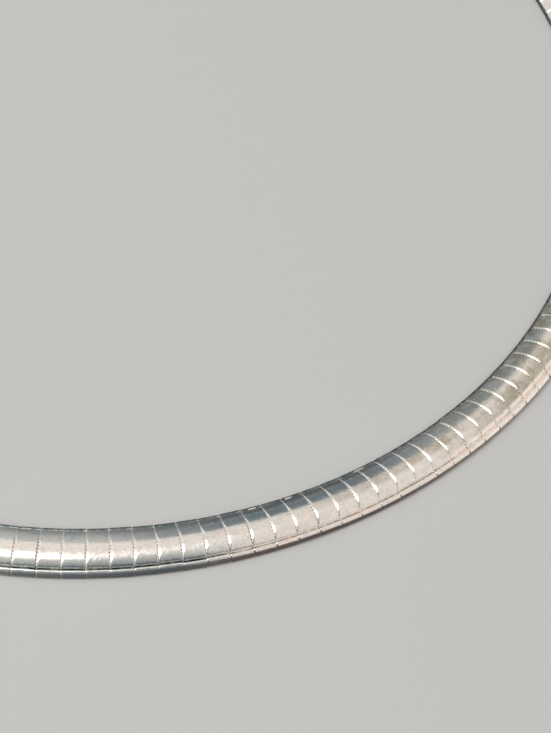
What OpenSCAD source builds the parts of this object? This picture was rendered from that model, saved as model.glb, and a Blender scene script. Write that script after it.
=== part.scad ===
// A collar necklace that lies flat: domed sheet plates crimped side by side over a flexible
// woven core, and a plain box clasp that closes the loop.
// Millimetres, +Z up. The origin is the loop's centre, on the surface that the loop lies on.
// The front of the necklace is at -Y and the clasp is at +Y.

/* [Loop] */
// Length round the middle of the band, clasp included
loop_length = 457.2; // [420:0.1:500]
// Plate places round the full circle, those taken by the clasp included
places = 178; // [160:2:190]
// Plate places that the clasp takes up
clasp_places = 6; // [4:2:10]

/* [Plates] */
// Width of the band over its rims
band_w = 5.8; // [5.6:0.1:6]
// Height of the dome's crown above the surface
crown_h = 1.95; // [1.8:0.05:2.1]
// Distance of the crown outwards from the middle of the band
crown_x = 0.5; // [0.4:0.05:0.6]
// Distance from the crown to the crease at the inner rim
dome_in = 3; // [2.9:0.05:3.05]
// Distance from the crown to the crease at the outer rim
dome_out = 1.6; // [1.5:0.05:1.7]
// Height of the round rim along the inner edge
inner_rim_h = 0.6; // [0.56:0.02:0.7]
// Height of the round-topped rim along the outer edge
outer_rim_h = 1.15; // [1.05:0.05:1.25]
// Width of the outer rim
outer_rim_w = 0.9; // [0.8:0.05:1]
// Thickness of the plates' sheet
sheet_t = 0.28; // [0.24:0.02:0.3]
// Reach of the flange that is folded under each edge of the core
flange_w = 1.4; // [1.2:0.1:2]
// Gap between neighbouring plates at the middle of the band
plate_gap = 0.15; // [0.12:0.01:0.3]

/* [Core] */
// Clearance between the core and the sheet round it
core_clear = 0.05; // [0.03:0.01:0.06]
// Thickness of the core's rounded edges
core_edge_h = 0.34; // [0.3:0.02:0.36]

/* [Clasp] */
// Height of the clasp
clasp_h = 2.3; // [2:0.1:3]
// Radius of the clasp's long upper edges
clasp_edge_r = 0.7; // [0.3:0.05:0.9]
// Depth of the socket that takes the core at each end of the clasp
socket_depth = 2.5; // [1:0.1:4]
// Width of the seam and collar lines
line_w = 0.25; // [0.15:0.05:0.4]
// Depth of the seam and collar lines
line_depth = 0.15; // [0.05:0.05:0.3]
// Length of the collar at each end of the clasp
collar_l = 1.8; // [1:0.1:3]

/* [Hidden] */

$fn = 96;
silver = "silver";
dull_silver = "darkgray";
loop_r = loop_length / (2 * PI);
place_deg = 360 / places;
plate_count = places - clasp_places;
clasp_deg = clasp_places * place_deg;
inner_rim_r = inner_rim_h / 2;
inner_rim_x = inner_rim_r - band_w / 2;
outer_rim_r = outer_rim_w / 2;
outer_rim_x = band_w / 2 - outer_rim_r;
// Height of the middle of the outer rim's round top
outer_rim_z = outer_rim_h - outer_rim_r;
// The dome is two arcs that meet at the crown. Each ends in a crease on its rim's round top.
inner_crease_h = on_circle(inner_rim_r, inner_rim_r, crown_x - dome_in - inner_rim_x);
outer_crease_h = on_circle(outer_rim_z, outer_rim_r, crown_x + dome_out - outer_rim_x);
inner_dome_r = arc_r(dome_in, crown_h - inner_crease_h);
outer_dome_r = arc_r(dome_out, crown_h - outer_crease_h);
// The core's edges are round. Their middles lie at this height and at these places across.
edge_r = core_edge_h / 2;
edge_z = sheet_t + core_clear + edge_r;
edge_in = crown_x - dome_reach(inner_dome_r, edge_z, edge_z);
edge_out = band_w / 2 - edge_z;
clasp_foot_r = 0.3;
// Longer than any section here is wide or tall
beyond = 10;

// Degrees round the loop that a length takes on the middle of the band
function arc_deg(length) = length / loop_r * 180 / PI;

// Radius of an arc that falls by a drop over a distance from its top
function arc_r(across, drop) = (pow(across, 2) + pow(drop, 2)) / (2 * drop);

// Height of a circle's upper side at a distance from its middle, which lies at height z
function on_circle(z, r, across) = z + sqrt(pow(r, 2) - pow(across, 2));

// How far a dome arc that is smaller by inset reaches across from the crown, at a height
function dome_reach(r, inset, z) = sqrt(pow(r - inset, 2) - pow(z - crown_h + r, 2));

// Turns a section round the loop. Its X is measured outwards from the middle of the band.
module round_the_loop(from_deg, sweep_deg) {
    rotate([0, 0, from_deg])
        rotate_extrude(angle = sweep_deg)
            translate([loop_r, 0])
                children();
}

// The part of the dome that lies above a height, smaller by inset
module dome_section(inset, above) {
    for (half = [[-1, inner_dome_r], [1, outer_dome_r]])
        intersection() {
            translate([crown_x, crown_h - half[1]]) circle(r = half[1] - inset);
            translate([crown_x + (half[0] - 1) * beyond / 2, above]) square([beyond, beyond]);
        }
}

// One plate's outside: the dome, a low round rim inside the loop and a taller one outside it
module plate_outside() {
    translate([inner_rim_x, inner_rim_r]) circle(r = inner_rim_r);
    for (z = [outer_rim_r, outer_rim_z])
        translate([outer_rim_x, z]) circle(r = outer_rim_r);
    translate([outer_rim_x - outer_rim_r, outer_rim_r])
        square([outer_rim_w, outer_rim_z - outer_rim_r]);
    translate([inner_rim_x, 0]) square([outer_rim_x - inner_rim_x, inner_rim_r]);
    dome_section(0, inner_rim_r / 2);
}

// One plate's sheet, with a flange turned under each edge of the core
module plate_section() {
    slot_r = edge_r + core_clear;
    difference() {
        plate_outside();
        dome_section(sheet_t, sheet_t);
        translate([crown_x, sheet_t]) square([edge_out - crown_x, 2 * slot_r]);
        translate([edge_out, edge_z]) circle(r = slot_r);
        translate([flange_w - band_w / 2, -beyond / 2])
            square([band_w - 2 * flange_w, beyond / 2 + edge_z]);
    }
}

module plates() {
    gap_deg = arc_deg(plate_gap);
    first_deg = 90 + clasp_deg / 2;
    color(silver)
        for (i = [0 : plate_count - 1])
            round_the_loop(first_deg + i * place_deg + gap_deg / 2, place_deg - gap_deg)
                plate_section();
}

// The core's section, larger by extra: it fills the dome and reaches into the outer rim
module core_section(extra) {
    r = edge_r + extra;
    for (x = [edge_in, edge_out])
        translate([x, edge_z]) circle(r = r);
    translate([edge_in, edge_z - r]) square([edge_out - edge_in, 2 * r]);
    dome_section(sheet_t + core_clear - extra, edge_z + edge_r / 2);
}

// The woven strip that every plate is crimped on. Both ends stand in the clasp's sockets.
module core() {
    reach_deg = arc_deg(socket_depth - core_clear);
    color(dull_silver)
        round_the_loop(90 + clasp_deg / 2 - reach_deg, 360 - clasp_deg + 2 * reach_deg)
            core_section(0);
}

// The clasp's outside, smaller by inset
module clasp_section(inset) {
    w = band_w - 2 * inset;
    top = clasp_h - inset;
    r = clasp_edge_r;
    foot_r = clasp_foot_r;
    union() {
        translate([-w / 2, inset + foot_r]) square([w, top - inset - foot_r - r]);
        translate([-w / 2 + r, inset + foot_r]) square([w - 2 * r, top - inset - foot_r]);
        translate([-w / 2 + foot_r, inset]) square([w - 2 * foot_r, clasp_h / 2]);
        for (side = [-1, 1]) {
            translate([side * (w / 2 - r), top - r]) circle(r = r);
            translate([side * (w / 2 - foot_r), inset + foot_r]) circle(r = foot_r);
        }
    }
}

// A shallow line cut round the clasp at an angle from its middle
module clasp_line(at_deg) {
    line_deg = arc_deg(line_w);
    round_the_loop(90 + at_deg - line_deg / 2, line_deg)
        difference() {
            square([2 * band_w, 3 * clasp_h], center = true);
            clasp_section(line_depth);
        }
}

module clasp() {
    gap_deg = arc_deg(plate_gap);
    socket_deg = arc_deg(socket_depth);
    collar_deg = clasp_deg / 2 - arc_deg(collar_l);
    color(silver)
        difference() {
            round_the_loop(90 - clasp_deg / 2 + gap_deg / 2, clasp_deg - gap_deg)
                clasp_section(0);
            for (side = [-1, 1]) {
                clasp_line(side * collar_deg);
                round_the_loop(90 + side * clasp_deg / 2 - socket_deg, 2 * socket_deg)
                    core_section(core_clear);
            }
            clasp_line(0);
        }
}

plates();
core();
clasp();
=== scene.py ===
"""A silver omega chain: domed plates crimped side by side on a woven core, closed by a box clasp."""

import logging
import math
import random
from dataclasses import dataclass, field
from enum import Enum
from typing import Any, Callable

import bpy
from mathutils import Matrix, Vector

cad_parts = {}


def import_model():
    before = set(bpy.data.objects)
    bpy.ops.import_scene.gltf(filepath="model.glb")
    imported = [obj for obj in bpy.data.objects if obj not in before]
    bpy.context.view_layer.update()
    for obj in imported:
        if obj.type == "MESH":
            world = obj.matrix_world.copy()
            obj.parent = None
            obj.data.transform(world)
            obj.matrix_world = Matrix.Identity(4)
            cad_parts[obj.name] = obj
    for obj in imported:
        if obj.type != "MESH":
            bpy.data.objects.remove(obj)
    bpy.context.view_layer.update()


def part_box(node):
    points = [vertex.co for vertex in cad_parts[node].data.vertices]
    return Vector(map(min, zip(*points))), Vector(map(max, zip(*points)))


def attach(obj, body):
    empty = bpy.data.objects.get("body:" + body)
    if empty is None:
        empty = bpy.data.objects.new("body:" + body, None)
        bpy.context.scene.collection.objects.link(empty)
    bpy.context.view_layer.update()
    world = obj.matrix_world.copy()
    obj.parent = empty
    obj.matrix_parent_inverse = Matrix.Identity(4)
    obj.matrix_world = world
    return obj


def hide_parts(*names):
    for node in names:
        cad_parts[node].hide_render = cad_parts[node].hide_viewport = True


logging.basicConfig(level=logging.INFO, format="%(levelname)s %(message)s")
LOG = logging.getLogger("omega_chain")

MM = 0.001
BODY = "root"
FULL_TURN = 2 * math.pi
QUARTER_TURN = FULL_TURN / 4
# Points nearer to each other than this are one, and so are angles round the loop
MERGE_WITHIN = 0.002 * MM
SAME_ANGLE = 0.00005

Colour = tuple[float, float, float]
Point = tuple[float, float, float]
# Where something begins and where it ends
Span = tuple[float, float]
# How far along a ring of points lies, and how far it is drawn in there
Ring = tuple[float, float]
PointTest = Callable[[Vector], bool]


class Half(Enum):
    """The two halves of the plates, by the names of their pieces."""

    LEFT = "plates_left"
    RIGHT = "plates_right"


class Edge(Enum):
    """The band's two edges, by their way from its middle."""

    INNER = -1
    OUTER = 1


def round_by(angle: float) -> Matrix:
    """A turn about the loop's axis."""
    return Matrix.Rotation(angle, 4, "Z")


def report(piece: bpy.types.Object) -> None:
    """Log a finished piece with its size and how many triangles it has.

    Args:
        piece: The piece.
    """
    triangles = sum(len(face.vertices) - 2 for face in piece.data.polygons)
    size = [round(side / MM, 2) for side in piece.dimensions]
    LOG.info("%s: %d triangles, %s mm", piece.name, triangles, size)


class Bench:
    """The modeller's hands: short calls that select, shape and finish a mesh."""

    @staticmethod
    def clear_selection() -> None:
        """Deselect every object, so that an operator acts on one piece alone."""
        for thing in bpy.context.selected_objects:
            thing.select_set(False)

    @staticmethod
    def pick(thing: bpy.types.Object) -> None:
        """Select one object and make it the active one.

        Args:
            thing: The object.
        """
        Bench.clear_selection()
        thing.select_set(True)
        bpy.context.view_layer.objects.active = thing

    @staticmethod
    def name(thing: bpy.types.Object, name: str) -> bpy.types.Object:
        """Give an object and its mesh one name.

        Args:
            thing: The object.
            name: The name.

        Returns:
            The same object.
        """
        thing.name = name
        thing.data.name = name
        return thing

    @staticmethod
    def edit() -> None:
        """Open the active object's mesh for editing."""
        bpy.ops.object.mode_set(mode="EDIT")

    @staticmethod
    def done() -> None:
        """Close the mesh again."""
        bpy.ops.object.mode_set(mode="OBJECT")

    @staticmethod
    def single_point(place: Vector) -> bpy.types.Object:
        """Start a wire outline from one point, and leave its mesh open for editing.

        Args:
            place: Where the point lies.

        Returns:
            The new object, its point selected.
        """
        Bench.clear_selection()
        bpy.ops.mesh.primitive_plane_add(size=MM, location=place)
        start = bpy.context.object
        bpy.ops.object.transform_apply(location=True, rotation=True, scale=True)
        Bench.edit()
        bpy.ops.mesh.select_all(action="SELECT")
        bpy.ops.mesh.merge(type="CENTER")
        return start

    @staticmethod
    def line_by(step: Point) -> None:
        """Draw a straight line from the selected point."""
        bpy.ops.mesh.extrude_region_move(TRANSFORM_OT_translate={"value": step})

    @staticmethod
    def arc_by(angle: float, centre: Point, steps: int) -> None:
        """Draw an arc from the selected point, anticlockwise seen along +Y where the angle is above 0."""
        bpy.ops.mesh.spin(steps=steps, angle=abs(angle), center=centre,
                          axis=(0, math.copysign(1, angle), 0))

    @staticmethod
    def turn_by(angle: float, steps: int = 1) -> None:
        """Spin the selected points about the loop's axis, anticlockwise seen from above."""
        bpy.ops.mesh.spin(steps=steps, angle=angle, center=(0, 0, 0), axis=(0, 0, -1))

    @staticmethod
    def merge_doubles() -> None:
        """Make one point of those that lie together in the open mesh, and leave all selected."""
        bpy.ops.mesh.select_all(action="SELECT")
        bpy.ops.mesh.remove_doubles(threshold=MERGE_WITHIN)

    @staticmethod
    def select_where(thing: bpy.types.Object, wanted: PointTest) -> None:
        """Select the points of an open mesh by their place.

        Args:
            thing: The object that is open for editing.
            wanted: Says of a point's place whether it is selected.
        """
        bpy.ops.mesh.select_mode(type="VERT")
        bpy.ops.mesh.select_all(action="DESELECT")
        Bench.done()
        for vertex in thing.data.vertices:
            vertex.select = wanted(vertex.co)
        Bench.edit()

    @staticmethod
    def draw_in(thing: bpy.types.Object, wanted: PointTest, draw: float, reach: tuple[float, float],
                middle: Point) -> None:
        """Draw points of an open mesh in towards a middle.

        Args:
            thing: The object that is open for editing.
            wanted: Says of a point's place whether it is drawn in.
            draw: How far a point at reach is drawn in.
            reach: A distance from the middle, across and upwards.
            middle: The place towards which they are drawn.
        """
        across, upwards = (1 - draw / distance for distance in reach)
        Bench.select_where(thing, wanted)
        bpy.ops.transform.resize(value=(across, across, upwards), center_override=middle)

    @staticmethod
    def close_at(thing: bpy.types.Object, *ends: PointTest) -> None:
        """Close an open mesh with a face at each end, and turn its faces outwards.

        Args:
            thing: The object that is open for editing.
            ends: Say of a point's place whether it belongs to an end.
        """
        for end in ends:
            Bench.select_where(thing, end)
            bpy.ops.mesh.edge_face_add()
        Bench.done()
        Bench.face_outwards(thing)

    @staticmethod
    def at_angle(angle: float) -> PointTest:
        """Make a test for points at an angle round the loop."""
        return lambda point: abs(math.atan2(point.y, point.x) - angle) < SAME_ANGLE

    @staticmethod
    def distance_out(point: Vector) -> float:
        """How far a point lies from the loop's axis."""
        return math.hypot(point.x, point.y)

    @staticmethod
    def apply_modifier(thing: bpy.types.Object, kind: str, **settings: Any) -> None:
        """Add a modifier and apply it.

        Args:
            thing: The object.
            kind: The modifier's type.
            settings: What is set in it.
        """
        Bench.pick(thing)
        modifier = thing.modifiers.new(kind.lower(), kind)
        for key, value in settings.items():
            setattr(modifier, key, value)
        bpy.ops.object.modifier_apply(modifier=modifier.name)

    @staticmethod
    def round_wire(line: bpy.types.Object, radius: float,
                   swells: list[float] | None = None) -> bpy.types.Object:
        """Turn a line of edges into a round wire.

        Args:
            line: The object that has the line.
            radius: The wire's radius.
            swells: How many times as thick it is at each point. It is closed at its ends then.

        Returns:
            The wire, as a mesh.
        """
        Bench.pick(line)
        bpy.ops.object.convert(target="CURVE")
        curve = bpy.context.object.data
        curve.bevel_depth = radius
        curve.bevel_resolution = 0
        if swells:
            curve.use_fill_caps = True
            for point, swell in zip(curve.splines[0].points, swells):
                point.radius = swell
        bpy.ops.object.convert(target="MESH")
        return bpy.context.object

    @staticmethod
    def copy(thing: bpy.types.Object, move: Matrix) -> bpy.types.Object:
        """Copy an object with a mesh of its own, moved in its mesh.

        Args:
            thing: The object.
            move: How the copy's points are moved.

        Returns:
            The copy.
        """
        twin = thing.copy()
        twin.data = thing.data.copy()
        twin.data.transform(move)
        bpy.context.scene.collection.objects.link(twin)
        return twin

    @staticmethod
    def join(things: list[bpy.types.Object], name: str) -> bpy.types.Object:
        """Join objects into the first of them, and name it.

        Args:
            things: The objects.
            name: The joined object's name.

        Returns:
            The joined object.
        """
        Bench.clear_selection()
        for thing in things:
            thing.select_set(True)
        bpy.context.view_layer.objects.active = things[0]
        bpy.ops.object.join()
        return Bench.name(things[0], name)

    @staticmethod
    def smooth(thing: bpy.types.Object, angle: float) -> None:
        """Shade a mesh smooth, with its sharper edges kept sharp."""
        Bench.pick(thing)
        bpy.ops.object.shade_smooth_by_angle(angle=angle)

    @staticmethod
    def face_outwards(thing: bpy.types.Object) -> None:
        """Turn all faces of closed shells outwards.

        Args:
            thing: The object that has the shells.
        """
        Bench.pick(thing)
        Bench.edit()
        bpy.ops.mesh.select_all(action="SELECT")
        bpy.ops.mesh.normals_make_consistent(inside=False)
        Bench.done()

    @staticmethod
    def paint(thing: bpy.types.Object, material: bpy.types.Material) -> None:
        """Give a piece one material."""
        thing.data.materials.clear()
        thing.data.materials.append(material)


@dataclass(frozen=True)
class Number:
    """A number that changes over a surface: one socket, with arithmetic."""

    board: "Board"
    socket: bpy.types.NodeSocket

    def _math(self, operation: str, *values: Any) -> "Number":
        """Add a Math node for an operation."""
        return self.board.number("ShaderNodeMath", {"operation": operation}, *values)

    def __add__(self, other: Any) -> "Number":
        """self + other."""
        return self._math("ADD", self, other)

    def __sub__(self, other: Any) -> "Number":
        """self - other."""
        return self._math("SUBTRACT", self, other)

    def __rsub__(self, other: Any) -> "Number":
        """other - self."""
        return self._math("SUBTRACT", other, self)

    def __mul__(self, other: Any) -> "Number":
        """self * other."""
        return self._math("MULTIPLY", self, other)

    def __abs__(self) -> "Number":
        """The number without its sign."""
        return self._math("ABSOLUTE", self)

    def __neg__(self) -> "Number":
        """The number with its sign turned."""
        return self * -1.0

    def clamped(self) -> "Number":
        """The number, kept from 0 to 1."""
        return self.board.number("ShaderNodeClamp", None, self)

    def between(self, least: float, most: float) -> "Number":
        """The number, brought from 0 to 1 into another range."""
        return self * (most - least) + least

    def step(self, start: float, end: float) -> "Number":
        """Rise smoothly from 0 where the number is start to 1 where it is end.

        Args:
            start: Where the result is 0.
            end: Where the result is 1. It may lie below start.

        Returns:
            The result, clamped from 0 to 1.
        """
        if start > end:
            return 1 - self.step(end, start)
        settings = {"interpolation_type": "SMOOTHSTEP"}
        return self.board.number("ShaderNodeMapRange", settings, self, start, end, 0.0, 1.0)


@dataclass(frozen=True)
class Grain:
    """A noise pattern, its scale in features per metre, and the values between which it rises to 1."""

    scale: float
    detail: float
    roughness: float
    rise: Span | None = None


class Board:
    """A node tree that is wired by plain calls."""

    def __init__(self, tree: bpy.types.NodeTree) -> None:
        """Take a node tree and empty it."""
        self.tree = tree
        tree.nodes.clear()

    @staticmethod
    def for_material(name: str) -> tuple[bpy.types.Material, "Board"]:
        """Make a material, and a board of its nodes.

        Args:
            name: The material's name.

        Returns:
            The material and the board.
        """
        made = bpy.data.materials.new(name)
        made.use_nodes = True
        return made, Board(made.node_tree)

    def node(self, kind: str, settings: dict[str, Any] | None = None, *values: Any,
             **named: Any) -> bpy.types.Node:
        """Add a node.

        Args:
            kind: The node's type.
            settings: Its settings, which are set before its sockets.
            values: What goes into its first sockets: numbers, colours, sockets or Numbers.
            named: What goes into sockets by name, with _ for a space.

        Returns:
            The new node.
        """
        made = self.tree.nodes.new(kind)
        for key, value in (settings or {}).items():
            setattr(made, key, value)
        for socket, value in zip(made.inputs, values):
            self._feed(socket, value)
        for key, value in named.items():
            self._feed(made.inputs[key.replace("_", " ")], value)
        return made

    def _feed(self, socket: bpy.types.NodeSocket, value: Any) -> None:
        """Link or set one socket.

        Args:
            socket: The socket.
            value: A number, a colour, a socket or a Number. None leaves the socket as it is.
        """
        if isinstance(value, Number):
            self.tree.links.new(value.socket, socket)
        elif isinstance(value, bpy.types.NodeSocket):
            self.tree.links.new(value, socket)
        elif value is not None:
            as_colour = socket.type == "RGBA" and len(value) == 3
            socket.default_value = (*value, 1) if as_colour else value

    def number(self, kind: str, settings: dict[str, Any] | None = None, *values: Any) -> Number:
        """Add a node and take its first output as a number."""
        return Number(self, self.node(kind, settings, *values).outputs[0])

    def mix(self, factor: Any, first: Any, second: Any) -> bpy.types.NodeSocket:
        """Mix two colours.

        Args:
            factor: How much of the second is in the result.
            first: A colour or its socket.
            second: A colour or its socket.

        Returns:
            The mixed colour's socket.
        """
        made = self.node("ShaderNodeMix", {"data_type": "RGBA"})
        # The sockets 6 and 7 and the output 2 are those of the colours
        for index, value in ((0, factor), (6, first), (7, second)):
            self._feed(made.inputs[index], value)
        return made.outputs[2]

    def vector(self, operation: str, *values: Any) -> bpy.types.NodeSocket:
        """Add a Vector Math node and take its vector."""
        return self.node("ShaderNodeVectorMath", {"operation": operation}, *values).outputs[0]

    def dot(self, vector: Any, direction: Vector) -> Number:
        """Take a vector's part along a direction."""
        made = self.node("ShaderNodeVectorMath", {"operation": "DOT_PRODUCT"}, vector, direction)
        return Number(self, made.outputs[1])

    def parts(self, vector: Any) -> tuple[Number, Number, Number]:
        """Take a vector's X, Y and Z."""
        x, y, z = self.node("ShaderNodeSeparateXYZ", None, vector).outputs
        return Number(self, x), Number(self, y), Number(self, z)

    def degrees_round(self, x: Number, y: Number) -> Number:
        """How many degrees round from the front a place lies, above 0 towards +X."""
        return self.number("ShaderNodeMath", {"operation": "ARCTAN2"}, x, -y) * math.degrees(1)

    def metal(self, colour: Any, roughness: Any, normal: Any) -> bpy.types.NodeSocket:
        """Add a bare metal's shader and take its output."""
        return self.node("ShaderNodeBsdfPrincipled", None, Base_Color=colour, Metallic=1.0,
                         Roughness=roughness, Normal=normal).outputs[0]

    def bump(self, height: Number, distance: float, normal: Any = None) -> bpy.types.NodeSocket:
        """Add a relief to a normal and take the new normal."""
        return self.node("ShaderNodeBump", None, Strength=1.0, Distance=distance, Height=height,
                         Normal=normal).outputs[0]

    def attribute(self, name: str) -> Number:
        """Take a number that the mesh carries."""
        return Number(self, self.node("ShaderNodeAttribute", {"attribute_name": name}).outputs["Fac"])

    def grain(self, vector: Any, pattern: Grain) -> Number:
        """Add a noise and take its value.

        Args:
            vector: The place on the surface.
            pattern: What the noise is like.

        Returns:
            The value, from 0 to 1.
        """
        made = self.node("ShaderNodeTexNoise", None, Vector=vector, Scale=pattern.scale,
                         Detail=pattern.detail, Roughness=pattern.roughness)
        value = Number(self, made.outputs[0])
        return value.step(*pattern.rise) if pattern.rise else value


@dataclass(frozen=True)
class Arc:
    """One arc of a section: its middle and its radius, X measured outwards from the middle of the band."""

    x: float
    z: float
    radius: float

    def reach(self, z: float, inset: float = 0.0) -> float:
        """How far the arc reaches to each side of its middle at a height, drawn smaller by inset."""
        return math.sqrt((self.radius - inset) ** 2 - (z - self.z) ** 2)

    def angle(self, x: float) -> float:
        """How far round from its top the arc is at a place across, above 0 outwards."""
        return math.asin((x - self.x) / self.radius)

    def at(self, angle: float, drop: float = 0.0) -> tuple[float, float]:
        """The place across and the height at an angle from its top, drop nearer to its middle."""
        distance = self.radius - drop
        return self.x + distance * math.sin(angle), self.z + distance * math.cos(angle)


@dataclass(frozen=True)
class Band:
    """The band's section and loop, as the frame's solids have them. All in metres."""

    radius: float
    width: float = 5.8 * MM
    crown: float = 1.95 * MM
    crown_x: float = 0.5 * MM
    dome_in: float = 3.0 * MM
    dome_out: float = 1.6 * MM
    inner_rim_height: float = 0.6 * MM
    outer_rim_height: float = 1.15 * MM
    outer_rim_width: float = 0.9 * MM
    sheet: float = 0.28 * MM
    flange: float = 1.4 * MM
    core_clearance: float = 0.05 * MM
    core_edge: float = 0.34 * MM
    inner_bead_radius: float = 0.19 * MM
    outer_bead_radius: float = 0.13 * MM
    outer_bead_shift: float = 0.03 * MM
    bead_end: float = math.radians(40)
    groove: float = 0.05 * MM
    worn_gap: float = 0.1 * MM
    places: int = 178
    clasp_places: int = 6

    @staticmethod
    def from_frame() -> "Band":
        """Take the loop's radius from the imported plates."""
        _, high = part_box("plates")
        return Band(radius=high.x - Band.width / 2)

    def place(self, angle: float, across: float, z: float) -> Point:
        """The point at an angle round the loop, across from the band's middle, at a height."""
        return ((self.radius + across) * math.cos(angle), (self.radius + across) * math.sin(angle), z)

    @property
    def place_angle(self) -> float:
        """The angle that one plate and one gap take."""
        return FULL_TURN / self.places

    @property
    def plate_count(self) -> int:
        """Plates on the loop."""
        return self.places - self.clasp_places

    @property
    def clasp_angle(self) -> float:
        """The angle that the clasp takes."""
        return self.clasp_places * self.place_angle

    def angle(self, length: float) -> float:
        """The angle that a length takes on the middle of the band."""
        return length / self.radius

    @property
    def inner_rim(self) -> Arc:
        """The round rim along the inner edge."""
        radius = self.inner_rim_height / 2
        return Arc(radius - self.width / 2, radius, radius)

    @property
    def inner_bead(self) -> Arc:
        """The worn top of the inner rim."""
        radius = self.inner_bead_radius
        return Arc(radius - self.width / 2, self.inner_rim_height / 2, radius)

    @property
    def outer_rim(self) -> Arc:
        """The round top of the rim along the outer edge."""
        radius = self.outer_rim_width / 2
        return Arc(self.width / 2 - radius, self.outer_rim_height - radius, radius)

    @property
    def outer_bead(self) -> Arc:
        """The tight top of the outer rim."""
        radius = self.outer_bead_radius
        return Arc(self.outer_rim.x - self.outer_bead_shift, self.outer_rim_height - radius, radius)

    @property
    def outer_wall(self) -> Arc:
        """The bulging wall that runs on smoothly from the outer bead, and stands upright at the edge."""
        bead, sine, cosine = self.outer_bead, math.sin(self.bead_end), math.cos(self.bead_end)
        radius = (self.width / 2 - bead.x - bead.radius * sine) / (1 - sine)
        return Arc(self.width / 2 - radius, bead.z - (radius - bead.radius) * cosine, radius)

    @property
    def worn_crease(self) -> float:
        """Place across where the inner dome meets the inner rim's worn top."""
        dome, bead = self.inner_dome, self.inner_bead
        distance = math.hypot(dome.x - bead.x, dome.z - bead.z)
        along = (distance**2 + bead.radius**2 - dome.radius**2) / (2 * distance)
        aside = math.sqrt(bead.radius**2 - along**2)
        return bead.x + (along * (dome.x - bead.x) - aside * (dome.z - bead.z)) / distance

    def _dome(self, rim: Arc, across: float) -> Arc:
        """The arc from the crown to the crease on a rim's top.

        Args:
            rim: The rim's round top.
            across: How far outwards from the crown the crease lies.

        Returns:
            The dome's arc on that side.
        """
        crease_x = self.crown_x + across
        crease_z = rim.z + math.sqrt(rim.radius**2 - (crease_x - rim.x) ** 2)
        drop = self.crown - crease_z
        radius = (across**2 + drop**2) / (2 * drop)
        return Arc(self.crown_x, self.crown - radius, radius)

    @property
    def inner_dome(self) -> Arc:
        """The dome's arc from the inner crease to the crown."""
        return self._dome(self.inner_rim, -self.dome_in)

    @property
    def outer_dome(self) -> Arc:
        """The dome's arc from the crown to the outer crease."""
        return self._dome(self.outer_rim, self.dome_out)

    @property
    def worn_groove(self) -> float:
        """Place across of the groove between the outer dome and the outer rim."""
        return self.crown_x + self.dome_out + self.groove

    @property
    def slot(self) -> Arc:
        """The round end of the slot in the outer rim, in which the core's edge lies."""
        radius = self.core_edge / 2 + self.core_clearance
        return Arc(self.width / 2 - self.sheet - radius, self.sheet + radius, radius)


@dataclass(frozen=True)
class Spot:
    """A place on a surface, as the finishes see it."""

    board: Board
    place: bpy.types.NodeSocket
    turn: Number
    across: Number

    def grain(self, pattern: Grain) -> Number:
        """Take a noise pattern's value here."""
        return self.board.grain(self.place, pattern)


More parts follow.
